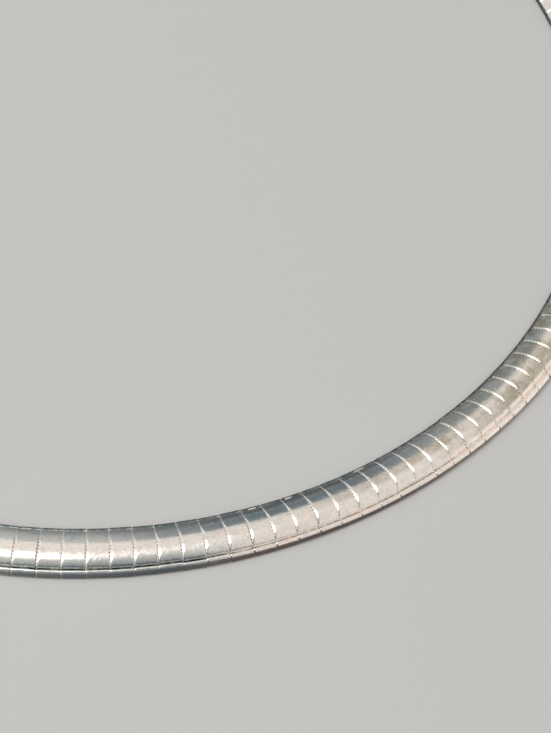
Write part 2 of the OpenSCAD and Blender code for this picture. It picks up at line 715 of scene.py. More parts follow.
@dataclass(frozen=True)
class SilverFinish:
    """Silver that has been worn: polished, brushed by wear in places, scratched and a little tarnished,
    with painted shade in its outer groove and along its inner rim.
    """

    name: str
    band: Band
    silver: Colour = (0.98, 0.89, 0.855)
    cool_silver: Colour = (0.87, 0.895, 0.87)
    tarnish: Colour = (0.48, 0.44, 0.36)
    # The painted shade's dark blue-grey, for the outer groove and the inner rim
    painted_shade: Colour = (0.07, 0.1, 0.115)
    roughness: float = 0.09
    tarnish_roughness: float = 0.1
    brushed_roughness: float = 0.72
    # The relief's patterns, and how high each stands
    waves: Grain = Grain(420, 1, 0.4)
    wave_height: float = 0.003 * MM
    pits: Grain = Grain(3800, 3, 0.6)
    pit_height: float = 0.0012 * MM
    scratch_turns: tuple[float, ...] = (0.15, 1.0, 2.2)
    scratch_stretch: Point = (250, 7000, 250)
    scratch_noise: Grain = Grain(1, 1, 0.3)
    scratch_width: Span = (0.0, 0.03)
    scratch_height: float = 0.0017 * MM
    # The patterns of tint and wear
    tint_grain: Grain = Grain(1200, 3, 0.6, (0.4, 0.6))
    tarnish_grain: Grain = Grain(380, 4, 0.66, (0.4, 0.6))
    fine_speckles: Grain = Grain(2600, 3, 0.65, (0.46, 0.66))
    coarse_speckles: Grain = Grain(900, 3, 0.6, (0.45, 0.65))
    shade_grain: Grain = Grain(1700, 3, 0.6, (0.36, 0.6))
    shine_grain: Grain = Grain(500, 2, 0.5, (0.5, 0.56))
    streak_grain: Grain = Grain(900, 4, 0.6, (0.3, 0.7))
    # Degrees round from the front, towards +X, between which each kind of wear, tint, tarnish and painted
    # shade grows
    worn_left: Span = (14, -8)
    worn_right: Span = (22, 40)
    # Where the painted bluish reflection at the left fades out
    cool_left: Span = (13, 7)
    faint_from: Span = (12, 28)
    faint_until: Span = (40, 33)
    tarnished_right: Span = (28, 42)
    darkest_right: Span = (37, 42)
    shade_left: Span = (11, 7)
    unshaded_right: Span = (30, 36)
    behind: Span = (60, 100)
    shine_middle: float = 18
    shine_reach: Span = (10, 5)
    # Places across the band between which each kind of wear, tint and tarnish grows
    cool_inwards: Span = (0.3 * MM, -0.9 * MM)
    # Where the painted bluish reflection at the left begins outwards
    cool_outwards: Span = (0.9 * MM, 1.3 * MM)
    dome_edge: Span = (1.9 * MM, 1.5 * MM)
    darkest_from: Span = (-0.4 * MM, 0.7 * MM)
    faint_inner: Span = (-1.0 * MM, -0.5 * MM)
    faint_outer: Span = (0.9 * MM, 0.2 * MM)
    worn_inwards: Span = (0.4 * MM, -0.8 * MM)
    less_worn: Span = (-1.0 * MM, -2.8 * MM)
    # Places beside the outer groove and the inner crease between which the painted shade grows
    shade_inner: Span = (-0.3 * MM, -0.1 * MM)
    shade_outer: Span = (0.14 * MM, 0.08 * MM)
    groove_line: Span = (0.09 * MM, 0.03 * MM)
    rim_shade: Span = (0.03 * MM, -0.03 * MM)
    shine_shift: float = 0.07 * MM
    shine_width: Span = (0.07 * MM, 0.03 * MM)
    # How much there is of each, or how its amount varies
    tint_by_grain: float = 0.5
    tint_inwards: float = 0.5
    tint_left: float = 0.7
    by_plate: Span = (0.85, 1.15)
    by_streak: Span = (0.85, 1.15)
    streaks_all_round: float = 0.05
    patch_amount: Span = (0.2, 0.7)
    darkest_amount: float = 0.4
    faint_amount: Span = (0.3, 0.6)
    fine_amount: float = 0.16
    coarse_amount: float = 0.14
    groove_amount: Span = (0.44, 0.64)
    line_amount: Span = (0.1, 0.4)
    rim_amount: Span = (0.78, 0.98)
    shine_amount: float = 0.9
    wear_amount: Span = (0.12, 0.55)
    wear_lost: float = 0.25
    right_wear: float = 0.3

    def material(self) -> bpy.types.Material:
        """Build the material.

        Returns:
            The material.
        """
        made, board = Board.for_material(self.name)
        place = board.node("ShaderNodeTexCoord").outputs["Object"]
        x, y, _ = board.parts(place)
        turn = board.degrees_round(x, y)
        across = board.number("ShaderNodeMath", {"operation": "SQRT"}, x * x + y * y) - self.band.radius
        spot = Spot(board, place, turn, across)
        at_front = abs(turn).step(*reversed(self.behind))
        plate = board.attribute("plate_shade").between(*self.by_plate)

        tarnish = (self._tarnish(spot) * at_front * plate + self._speckles(spot)).clamped()
        colour = board.mix(tarnish, self._tinted(spot), self.tarnish)
        # Painted shade: dark blue-grey mixed in at the outer groove, beside it at the left and along the
        # inner rim
        colour = board.mix(self._painted_shade_amount(spot), colour, self.painted_shade)
        normal = self._relief(spot)
        rough = tarnish * self.tarnish_roughness + self.roughness
        polished = board.metal(colour, rough, normal)
        brushed = board.metal(colour, self.brushed_roughness, normal)
        worn = self._wear(spot) * at_front * plate
        both = board.node("ShaderNodeMixShader", None, worn, polished, brushed)
        board.node("ShaderNodeOutputMaterial", None, both.outputs[0])
        return made

    def _tinted(self, spot: Spot) -> bpy.types.NodeSocket:
        """The silver's colour: cooler inwards, cooler outwards at the left as a painted bluish reflection,
        and in small patches.

        Args:
            spot: The place on the surface.

        Returns:
            The colour's socket.
        """
        patches = spot.grain(self.tint_grain) * self.tint_by_grain
        inwards = spot.across.step(*self.cool_inwards) * self.tint_inwards
        # Cooler outwards at the left: a painted bluish reflection
        left = spot.across.step(*self.cool_outwards) * spot.turn.step(*self.cool_left) * self.tint_left
        return spot.board.mix((patches + inwards + left).clamped(), self.silver, self.cool_silver)

    def _tarnish(self, spot: Spot) -> Number:
        """Olive patches on the dome at the right, and fainter ones along its middle before them.

        Args:
            spot: The place on the surface.

        Returns:
            How much tarnish there is.
        """
        patches = spot.grain(self.tarnish_grain)
        on_dome = spot.across.step(*self.dome_edge)
        olive = spot.turn.step(*self.tarnished_right) * on_dome * patches.between(*self.patch_amount)
        darkest = (on_dome * spot.across.step(*self.darkest_from) * spot.turn.step(*self.darkest_right)
                   * self.darkest_amount)
        along_middle = spot.across.step(*self.faint_inner) * spot.across.step(*self.faint_outer)
        before = spot.turn.step(*self.faint_from) * spot.turn.step(*self.faint_until)
        return olive + darkest + along_middle * before * patches.between(*self.faint_amount)

    def _speckles(self, spot: Spot) -> Number:
        """Faint speckles all round."""
        return (spot.grain(self.fine_speckles) * self.fine_amount
                + spot.grain(self.coarse_speckles) * self.coarse_amount)

    def _painted_shade_amount(self, spot: Spot) -> Number:
        """Painted shade in the outer groove, most of it at the left, and along the worn inner rim.

        Args:
            spot: The place on the surface.

        Returns:
            How much dirt there is.
        """
        grain = spot.grain(self.shade_grain)
        from_groove = spot.across - self.band.worn_groove
        from_crease = spot.across - self.band.worn_crease
        # Painted shade beside the groove at the left, a thin painted dark line in the groove that fades out
        # at the right, and painted shade along the inner rim, left off in shiny patches
        beside = from_groove.step(*self.shade_inner) * from_groove.step(*self.shade_outer)
        shaded_beside_groove = beside * spot.turn.step(*self.shade_left) * grain.between(*self.groove_amount)
        line = abs(from_groove).step(*self.groove_line) * spot.turn.step(*reversed(self.unshaded_right))
        shiny = (abs(spot.turn - self.shine_middle).step(*self.shine_reach) * spot.grain(self.shine_grain)
                 * abs(from_crease + self.shine_shift).step(*self.shine_width))
        at_rim = from_crease.step(*self.rim_shade) * grain.between(*self.rim_amount)
        lined = line * grain.between(*self.line_amount)
        return (shaded_beside_groove + lined + at_rim * (1 - shiny * self.shine_amount)).clamped()

    def _wear(self, spot: Spot) -> Number:
        """How much of the surface is brushed: most at the front's left and inwards, some at its right.

        Args:
            spot: The place on the surface.

        Returns:
            The brushed share.
        """
        streaks = spot.grain(self.streak_grain)
        inwards = spot.across.step(*self.worn_inwards).between(*self.wear_amount)
        inwards = inwards - spot.across.step(*self.less_worn) * self.wear_lost
        left = spot.turn.step(*self.worn_left) * inwards
        right = spot.turn.step(*self.worn_right) * self.right_wear
        worn = (left + right) * streaks.between(*self.by_streak)
        return (worn + streaks * self.streaks_all_round).clamped()

    def _relief(self, spot: Spot) -> bpy.types.NodeSocket:
        """Wire the surface's waves, pits and scratches into one normal.

        Args:
            spot: The place on the surface.

        Returns:
            The normal's socket.
        """
        layers = [(spot.grain(self.waves), self.wave_height), (spot.grain(self.pits), self.pit_height)]
        layers += [(self._scratches(spot, turn), self.scratch_height) for turn in self.scratch_turns]
        normal = None
        for height, depth in layers:
            normal = spot.board.bump(height, depth, normal)
        return normal

    def _scratches(self, spot: Spot, turn: float) -> Number:
        """Fine straight scratches, all turned one way.

        Args:
            spot: The place on the surface.
            turn: Their way, as an angle about Z.

        Returns:
            0 in a scratch's middle and 1 beside it.
        """
        board = spot.board
        turned = board.node("ShaderNodeVectorRotate", {"rotation_type": "Z_AXIS"}, Vector=spot.place,
                            Angle=turn)
        drawn_out = board.vector("MULTIPLY", turned.outputs[0], self.scratch_stretch)
        return abs(board.grain(drawn_out, self.scratch_noise) - 0.5).step(*self.scratch_width)


@dataclass(frozen=True)
class WireFinish:
    """Bare woven silver wire, with painted shade in the troughs between its crests."""

    name: str
    silver: Colour = (1.0, 0.98, 0.95)
    tarnish: Colour = (0.62, 0.56, 0.46)
    # Painted shade for the troughs between the gap wires' crests
    painted_shade: Colour = (0.1, 0.09, 0.075)
    roughness: float = 0.36
    patch_roughness: float = 0.15
    fine_roughness: float = 0.1
    patches: Grain = Grain(500, 4, 0.6, (0.42, 0.68))
    patch_amount: float = 0.4
    fine: Grain = Grain(9000, 2, 0.5)
    fine_height: float = 0.002 * MM
    trough_amount: float = 0.75

    def material(self) -> bpy.types.Material:
        """Build the material.

        Returns:
            The material.
        """
        made, board = Board.for_material(self.name)
        place = board.node("ShaderNodeTexCoord").outputs["Object"]
        patches, fine = board.grain(place, self.patches), board.grain(place, self.fine)
        colour = board.mix(patches * self.patch_amount, self.silver, self.tarnish)
        # Painted shade in the gap wires' troughs
        colour = board.mix(board.attribute("trough") * self.trough_amount, colour, self.painted_shade)
        rough = patches * self.patch_roughness + fine * self.fine_roughness + self.roughness
        metal = board.metal(colour, rough, board.bump(fine, self.fine_height))
        board.node("ShaderNodeOutputMaterial", None, metal)
        return made


@dataclass
class PlateRow:
    """The domed plates: one is modelled, and copies of it stand side by side round the loop."""

    band: Band
    dome_steps: int = 8
    rim_steps: int = 6
    inner_steps: int = 4
    # The rings of points from a plate's first end on
    first_rings: tuple[Ring, ...] = (
        (0.0 * MM, 0.14 * MM),
        (0.04 * MM, 0.1 * MM),
        (0.27 * MM, 0.0 * MM),
        (0.33 * MM, 0.0 * MM),
    )
    # The same from its last end backwards. That end is crisp
    last_rings: tuple[Ring, ...] = (
        (0.0 * MM, 0.04 * MM),
        (0.04 * MM, 0.0 * MM),
        (0.08 * MM, 0.0 * MM),
    )
    flank_angle: float = math.radians(60)
    # Places across between which the first end's rounding grows from the inner edge and fades to the outer
    grows: Span = (-1.4 * MM, -0.2 * MM)
    fades: Span = (1.9 * MM, 1.4 * MM)
    least_rounding: float = 0.35
    # The place across and the height towards which the rings are drawn in
    draw_across: float = 1.7 * MM
    draw_height: float = 0.5 * MM
    slack: float = 0.01 * MM
    tilt: float = math.radians(0.8)
    lean: float = math.radians(1.3)
    lift: float = 0.02 * MM
    smooth_angle: float = math.radians(42)
    seed: int = 11
    pieces: list[bpy.types.Object] = field(default_factory=list)

    def _outline(self) -> bpy.types.Object:
        """Draw one plate's section as a closed wire, across the loop at +X.

        Returns:
            The wire.
        """
        band = self.band
        tip = band.width / 2 - band.flange
        wire = Bench.single_point(Vector((band.radius - tip, 0, 0)))
        self._draw_outside(tip)
        self._draw_inside(tip)
        Bench.merge_doubles()
        Bench.done()
        return wire

    def _centre(self, arc: Arc, z: float | None = None) -> Point:
        """Where an arc's middle lies at +X, at its own height or at another."""
        return (self.band.radius + arc.x, 0, arc.z if z is None else z)

    def _draw_outside(self, tip: float) -> None:
        """Draw the sheet's outer side, from the inner flange's tip over the dome to the outer flange's.

        Args:
            tip: How far from the band's middle the flanges' tips are.
        """
        band = self.band
        inner_bead, outer_bead, wall = band.inner_bead, band.outer_bead, band.outer_wall
        inner_dome, outer_dome = band.inner_dome, band.outer_dome
        Bench.line_by((inner_bead.x + tip, 0, 0))
        Bench.arc_by(-QUARTER_TURN, self._centre(inner_bead, inner_bead.radius), self.rim_steps // 2)
        Bench.line_by((0, 0, inner_bead.z - inner_bead.radius))
        over_bead = QUARTER_TURN + inner_bead.angle(band.worn_crease)
        Bench.arc_by(-over_bead, self._centre(inner_bead), self.rim_steps)
        Bench.arc_by(inner_dome.angle(band.worn_crease), self._centre(inner_dome), self.dome_steps)
        Bench.arc_by(-outer_dome.angle(band.worn_groove), self._centre(outer_dome), self.dome_steps)
        flank_x, flank_z = outer_bead.at(-self.flank_angle)
        groove_z = outer_dome.z + outer_dome.reach(outer_dome.z + band.worn_groove - outer_dome.x)
        Bench.line_by((flank_x - band.worn_groove, 0, flank_z - groove_z))
        Bench.arc_by(-self.flank_angle - band.bead_end, self._centre(outer_bead), self.rim_steps)
        Bench.arc_by(band.bead_end - QUARTER_TURN, self._centre(wall), self.rim_steps // 2)
        foot = Arc(band.width / 2 - wall.z, wall.z, wall.z)
        Bench.arc_by(-QUARTER_TURN, self._centre(foot), self.rim_steps // 2)
        Bench.line_by((tip - foot.x, 0, 0))

    def _draw_inside(self, tip: float) -> None:
        """Draw the sheet's inner side back: round the slot, and under the dome to the inner flange's tip.

        Args:
            tip: How far from the band's middle the flanges' tips are.
        """
        band = self.band
        slot, inner_dome, outer_dome = band.slot, band.inner_dome, band.outer_dome
        slot_top = slot.z + slot.radius
        wedge = inner_dome.x - inner_dome.reach(band.sheet, band.sheet)
        roof_x = outer_dome.x + outer_dome.reach(slot_top, band.sheet)
        Bench.line_by((0, 0, band.sheet))
        Bench.line_by((slot.x - tip, 0, 0))
        Bench.arc_by(2 * QUARTER_TURN, self._centre(slot), self.inner_steps)
        Bench.line_by((roof_x - slot.x, 0, 0))
        roof_angle = math.atan2(roof_x - outer_dome.x, slot_top - outer_dome.z)
        Bench.arc_by(roof_angle, self._centre(outer_dome), self.inner_steps)
        wedge_angle = math.atan2(inner_dome.x - wedge, band.sheet - inner_dome.z)
        Bench.arc_by(wedge_angle, self._centre(inner_dome), self.inner_steps)
        Bench.line_by((-tip - wedge, 0, 0))
        Bench.line_by((0, 0, -band.sheet))

    def _is_outside(self, point: Vector) -> bool:
        """Say whether a point lies on the sheet's outer side.

        Args:
            point: The point.

        Returns:
            Whether it does.
        """
        band = self.band
        across = Bench.distance_out(point) - band.radius
        if point.z < band.sheet - self.slack:
            return True
        dome = band.inner_dome if across < band.crown_x else band.outer_dome
        from_middle = math.hypot(across - dome.x, point.z - dome.z)
        under_dome = from_middle < dome.radius - band.sheet + self.slack
        slot_edge, slot_top = band.slot.x + band.slot.radius, band.slot.z + band.slot.radius
        in_slot = dome.x < across < slot_edge + self.slack and point.z < slot_top + self.slack
        return not (under_dome or in_slot)

    def _model_plate(self) -> bpy.types.Object:
        """Model one plate, from angle 0 anticlockwise: the section spun along the loop, with rounded ends.

        Returns:
            The plate.
        """
        band = self.band
        length = band.place_angle - band.angle(band.worn_gap)
        first = [(band.angle(inset), draw) for inset, draw in self.first_rings]
        last = [(length - band.angle(inset), draw) for inset, draw in reversed(self.last_rings)]
        rings = first + last
        plate = self._outline()
        Bench.edit()
        bpy.ops.mesh.select_all(action="SELECT")
        for (start, _), (end, _) in zip(rings, rings[1:]):
            Bench.turn_by(end - start)
        for angle, draw in first:
            self._taper(plate, angle, draw)
        for angle, draw in last:
            self._draw_in(plate, Bench.at_angle(angle), angle, draw)
        Bench.close_at(plate, Bench.at_angle(0.0), Bench.at_angle(length))
        LOG.info("one plate: %d faces", len(plate.data.polygons))
        return plate

    def _rounding(self, across: float) -> float:
        """How much of the first end's rounding there is at a place across, up to 1.

        Args:
            across: The place, outwards from the band's middle.

        Returns:
            The share.
        """
        share = 1.0
        for start, end in (self.grows, self.fades):
            part = min(max((across - start) / (end - start), 0.0), 1.0)
            share *= part * part * (3 - 2 * part)
        return self.least_rounding + (1 - self.least_rounding) * share

    def _taper(self, plate: bpy.types.Object, angle: float, draw: float) -> None:
        """Draw one ring's points in, or bring them nearer to the first end where the rounding is small.

        Args:
            plate: The plate, open for editing.
            angle: Where the ring lies.
            draw: How far it is drawn in where the rounding is full.
        """
        at_angle = Bench.at_angle(angle)

        def place_of(point: Vector) -> int:
            """Number a point's place across, in steps that tell the ring's points apart."""
            return round((Bench.distance_out(point) - self.band.radius) / MERGE_WITHIN)

        Bench.done()
        places = {place_of(vertex.co) for vertex in plate.data.vertices if at_angle(vertex.co)}
        Bench.edit()
        for place in sorted(places):
            rounding = self._rounding(place * MERGE_WITHIN)

            def is_here(point: Vector) -> bool:
                """Say whether a point lies on the ring at this place across."""
                return at_angle(point) and place_of(point) == place

            if draw:
                self._draw_in(plate, is_here, angle, draw * rounding)
            elif rounding < 1:
                Bench.select_where(plate, is_here)
                bpy.ops.transform.rotate(value=angle * (1 - rounding), orient_axis="Z",
                                         center_override=(0, 0, 0))

    def _draw_in(self, plate: bpy.types.Object, is_here: PointTest, angle: float, draw: float) -> None:
        """Draw the chosen points of one ring of the sheet's outer side in.

        Args:
            plate: The plate, open for editing.
            is_here: Chooses the points.
            angle: Where the ring lies.
            draw: How far it is drawn in.
        """
        if not draw:
            return
        reach = (self.band.width / 2, self.band.crown - self.draw_height)
        middle = self.band.place(angle, self.draw_across, self.draw_height)
        Bench.draw_in(plate, lambda point: is_here(point) and self._is_outside(point), draw, reach, middle)

    def build(self, material: bpy.types.Material) -> list[bpy.types.Object]:
        """Copy the plate round the loop, each copy a little out of true, and join each half.

        Args:
            material: The plates' finish.

        Returns:
            The left and the right half of the plates.
        """
        chance = random.Random(self.seed)
        first = self._model_plate()
        Bench.smooth(first, self.smooth_angle)
        halves: dict[Half, list[bpy.types.Object]] = {half: [] for half in Half}
        start = QUARTER_TURN + self.band.clasp_angle / 2 + self.band.angle(self.band.worn_gap) / 2
        for index in range(self.band.plate_count):
            turn = round_by(start + index * self.band.place_angle)
            half = Half.LEFT if index < self.band.plate_count / 2 else Half.RIGHT
            copy = Bench.copy(first, turn @ self._out_of_true(chance))
            shade = copy.data.attributes.new("plate_shade", "FLOAT", "POINT")
            shade.data.foreach_set("value", [chance.random()] * len(copy.data.vertices))
            halves[half].append(copy)
        bpy.data.objects.remove(first)
        for half, copies in halves.items():
            piece = Bench.join(copies, half.value)
            Bench.paint(piece, material)
            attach(piece, BODY)
            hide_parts("plates")
            report(piece)
            self.pieces.append(piece)
        return self.pieces

    def _out_of_true(self, chance: random.Random) -> Matrix:
        """Tilt one plate slightly about its own middle.

        Args:
            chance: Where the amounts are drawn from.

        Returns:
            The move, which also lifts the plate clear of the floor.
        """
        band = self.band
        half = (band.place_angle - band.angle(band.worn_gap)) / 2
        to_middle = round_by(half)
        ways = ((band.radius, 0, 0), (1, 0, 0), (0, 1, 0))
        middle, radial, along = (to_middle @ Vector(way) for way in ways)
        tilt_angle, lean_angle = chance.uniform(-1, 1) * self.tilt, chance.uniform(-1, 1) * self.lean
        tilt, lean = Matrix.Rotation(tilt_angle, 4, radial), Matrix.Rotation(lean_angle, 4, along)
        plate_length = 2 * half * band.radius
        rise = (abs(lean_angle) * band.width + abs(tilt_angle) * plate_length) / 2
        rise += self.lift * chance.random()
        return Matrix.Translation(middle + Vector((0, 0, rise))) @ tilt @ lean @ Matrix.Translation(-middle)


@dataclass
class WovenCore:
    """The woven sleeve under the plates: crimped wires along it, over and under wires that run round it."""

    band: Band
    top_strands: int = 13
    under_strands: int = 9
    spacing: float = 0.36 * MM
    crimp: float = 0.09 * MM
    wire_radius: float = 0.1 * MM
    cross_radius: float = 0.05 * MM
    half_wave: float = 0.5 * MM
    under_height: float = 0.5 * MM
    sides: int = 4
    arc_steps: int = 6
    seam: float = 0.01 * MM
    gap_waves: int = 13
    gap_depth: float = 0.1 * MM
    gap_crimp: float = 0.06 * MM
    gap_radius: float = 0.055 * MM
    crest_swell: float = 2.1
    # How deep in a wave the points of a gap wire lie, from one crest to the next, up to 1
    quarter_depths: tuple[float, ...] = (0.0, 0.5, 1.0, 0.5)
    # Depth of a gap wire under the outer rim's top, how far it runs on there, and its points on the way
    rim_depth: float = 0.03 * MM
    past_rim: float = 0.2 * MM
    steps_up: int = 4
    steps_down: int = 2
    gap_shift: float = 0.02 * MM
    gap_drop: float = 0.02 * MM
    seed: int = 5
    in_clasp: float = 2.4 * MM
    smooth_angle: float = math.radians(100)
    pieces: list[bpy.types.Object] = field(default_factory=list)

    @property
    def length(self) -> float:
        """Length of the sleeve, both ends in the clasp."""
        return self.band.radius * (FULL_TURN - self.band.clasp_angle) + 2 * self.in_clasp

    @property
    def waves(self) -> int:
        """Whole waves along one wire."""
        return round(self.length / (2 * self.half_wave))

    @property
    def step(self) -> float:
        """Distance between two wires that run round the sleeve."""
        return self.length / self.waves / 2

    def _arc(self, dome: Arc) -> Arc:
        """The line of the wires under one side of the dome."""
        inset = self.band.sheet + self.band.core_clearance + self.crimp + self.wire_radius
        return Arc(dome.x, dome.z, dome.radius - inset)

    def _arc_end(self, arc: Arc) -> float:
        """How far round from its top a side's line meets the flat underside's level."""
        return math.acos((self.under_height - arc.z) / arc.radius)

    def _top_places(self) -> list[Matrix]:
        """Where the wires under the dome lie: across is -Y here, and each one's crimp stands on the dome.

        Returns:
            A move for each wire.
        """
        inner, outer = self._arc(self.band.inner_dome), self._arc(self.band.outer_dome)
        low, high = -self._arc_end(inner) * inner.radius, self._arc_end(outer) * outer.radius
        places = []
        for index in range(self.top_strands):
            along = low + (high - low) * (index + 0.5) / self.top_strands
            arc = inner if along < 0 else outer
            angle = along / arc.radius
            x, z = arc.at(angle)
            places.append(Matrix.Translation((0, -x, z)) @ Matrix.Rotation(angle, 4, "X"))
        return places

    def _under_places(self) -> list[Matrix]:
        """Where the wires of the flat underside lie.

        Returns:
            A move for each wire.
        """
        first = -(self.under_strands - 1) / 2 * self.spacing
        return [Matrix.Translation((0, first + index * self.spacing, self.under_height))
                for index in range(self.under_strands)]

    def _one_wave(self) -> bpy.types.Object:
        """Model one wave of a wire along X: a ring of points drawn up and down again.

        Returns:
            The wave, open at both ends.
        """
        Bench.clear_selection()
        bpy.ops.mesh.primitive_circle_add(vertices=self.sides, radius=self.wire_radius,
                                          rotation=(0, QUARTER_TURN, 0))
        wave = bpy.context.object
        bpy.ops.object.transform_apply(location=True, rotation=True, scale=True)
        Bench.edit()
        bpy.ops.mesh.select_all(action="SELECT")
        for rise in (1, -1, -1, 1):
            Bench.line_by((self.step / 2, 0, rise * self.crimp))
        Bench.done()
        return wave

    def _strand(self) -> bpy.types.Object:
        """Repeat the wave to a whole wire, and close both ends.

        Returns:
            The straight wire, its middle at the origin.
        """
        strand = self._one_wave()
        Bench.apply_modifier(strand, "ARRAY", count=self.waves, use_merge_vertices=True,
                             merge_threshold=self.seam)
        Bench.pick(strand)
        Bench.edit()
        Bench.close_at(strand, lambda point: abs(point.x) < 2 * self.seam,
                       lambda point: abs(point.x - self.length) < 2 * self.seam)
        strand.data.transform(Matrix.Translation((-self.length / 2, 0, 0)))
        return strand

    def _warp(self, places: list[Matrix], name: str) -> bpy.types.Object:
        """Lay wires along the sleeve, each one's waves against its neighbours'.

        Args:
            places: A move for each wire.
            name: The piece's name.

        Returns:
            The wires as one piece.
        """
        strand = self._strand()
        over_under = (Matrix.Identity(4), Matrix.Scale(-1, 4, (0, 0, 1)))
        copies = [Bench.copy(strand, place @ over_under[index % 2]) for index, place in enumerate(places)]
        bpy.data.objects.remove(strand)
        warp = Bench.join(copies, name)
        Bench.face_outwards(warp)
        return warp

    def _weft(self) -> bpy.types.Object:
        """Lay the wires that run round the sleeve.

        Returns:
            The wires as one piece.
        """
        inner, outer = self._arc(self.band.inner_dome), self._arc(self.band.outer_dome)
        inner_end, outer_end = self._arc_end(inner), self._arc_end(outer)
        start = Vector((inner.x - inner.radius * math.sin(inner_end), 0, self.under_height))
        ring = Bench.single_point(start)
        Bench.arc_by(-inner_end, (inner.x, 0, inner.z), self.arc_steps)
        Bench.arc_by(-outer_end, (outer.x, 0, outer.z), self.arc_steps)
        Bench.merge_doubles()
        Bench.select_where(ring, lambda point: abs(point.z - self.under_height) < MERGE_WITHIN)
        bpy.ops.mesh.edge_face_add()
        Bench.done()
        ring = Bench.round_wire(ring, self.cross_radius)
        ring.data.transform(round_by(-QUARTER_TURN))
        ring.data.transform(Matrix.Translation(((self.step - self.length) / 2, 0, 0)))
        Bench.apply_modifier(ring, "ARRAY", count=2 * self.waves, use_relative_offset=False,
                             use_constant_offset=True, constant_offset_displace=(self.step, 0, 0))
        Bench.face_outwards(ring)
        return Bench.name(ring, "core_weft")

    def _gap_points(self) -> list[Vector]:
        """Where the points of a gap wire lie at +X: up and down over the dome, then over the outer rim.

        Returns:
            The points, from the inner crease outwards, the first on a crest.
        """
        inner, outer = self.band.inner_dome, self.band.outer_dome
        low = inner.angle(self.band.worn_crease) * inner.radius
        high = outer.angle(self.band.worn_groove) * outer.radius
        quarters = len(self.quarter_depths) * self.gap_waves
        points = []
        for index in range(quarters + 1):
            along = low + (high - low) * index / quarters
            dome = inner if along < 0 else outer
            drop = self.gap_depth - self.gap_crimp * math.cos(QUARTER_TURN * index)
            x, z = dome.at(along / dome.radius, drop)
            points.append(Vector((self.band.radius + x, 0, z)))
        bead = self.band.outer_bead
        top = Vector((self.band.radius + bead.x, 0, bead.z + bead.radius - self.rim_depth))
        past = top + Vector((self.past_rim, 0, -self.past_rim))
        for end, steps in ((top, self.steps_up), (past, self.steps_down)):
            start = points[-1]
            points += [start.lerp(end, step / steps) for step in range(1, steps + 1)]
        return points

    def _gap_wire(self) -> bpy.types.Object:
        """Model the crimped wire that shows in one gap, at +X, thick on its crests.

        Returns:
            The wire.
        """
        points = self._gap_points()
        line = Bench.single_point(points[0])
        for start, end in zip(points, points[1:]):
            Bench.line_by(tuple(end - start))
        Bench.done()
        a_wave = len(self.quarter_depths)
        swells = [1.0] * len(points)
        swells[a_wave::a_wave] = [self.crest_swell] * len(swells[a_wave::a_wave])
        wire = Bench.round_wire(line, self.gap_radius, swells)
        Bench.edit()
        Bench.merge_doubles()
        Bench.done()
        nearest = [min(range(len(points)), key=lambda index: (points[index] - vertex.co).length)
                   for vertex in wire.data.vertices]
        trough = wire.data.attributes.new("trough", "FLOAT", "POINT")
        trough.data.foreach_set("value", [self.quarter_depths[index % a_wave] for index in nearest])
        return wire

    def _gap_wires(self) -> bpy.types.Object:
        """Stand a crimped wire in every gap between two plates.

        Returns:
            The wires as one piece.
        """
        chance = random.Random(self.seed)
        first = self._gap_wire()
        start = QUARTER_TURN + self.band.clasp_angle / 2 + self.band.angle(self.gap_shift)
        copies = []
        for index in range(1, self.band.plate_count):
            drop = Matrix.Translation((0, 0, -self.gap_drop * chance.random()))
            turn = round_by(start + index * self.band.place_angle)
            copies.append(Bench.copy(first, turn @ drop))
        bpy.data.objects.remove(first)
        wires = Bench.join(copies, "core_gap_wires")
        Bench.face_outwards(wires)
        return wires

    def _bend(self, strip: bpy.types.Object) -> None:
        """Bend a straight strip along X into the loop, its middle at the front.

        Args:
            strip: The strip.
        """
        low = min(vertex.co.x for vertex in strip.data.vertices)
        high = max(vertex.co.x for vertex in strip.data.vertices)
        Bench.apply_modifier(strip, "SIMPLE_DEFORM", deform_method="BEND", deform_axis="Z",
                             angle=(high - low) / self.band.radius)
        strip.data.transform(Matrix.Translation((0, -self.band.radius, 0)))

    def build(self, material: bpy.types.Material) -> list[bpy.types.Object]:
        """Weave the sleeve and bend it round.

        Args:
            material: The wire's finish.

        Returns:
            The wires under the dome, in two pieces, those of the flat underside, those across and the
            crimped ones that show in the gaps.
        """
        top = self._top_places()
        half = len(top) // 2
        strips = [self._warp(top[:half], "core_warp_inner"), self._warp(top[half:], "core_warp_outer"),
                  self._warp(self._under_places(), "core_warp_under"), self._weft()]
        for strip in strips:
            self._bend(strip)
        for piece in strips + [self._gap_wires()]:
            Bench.smooth(piece, self.smooth_angle)
            Bench.paint(piece, material)
            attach(piece, BODY)
            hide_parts("core")
            report(piece)
            self.pieces.append(piece)
        return self.pieces


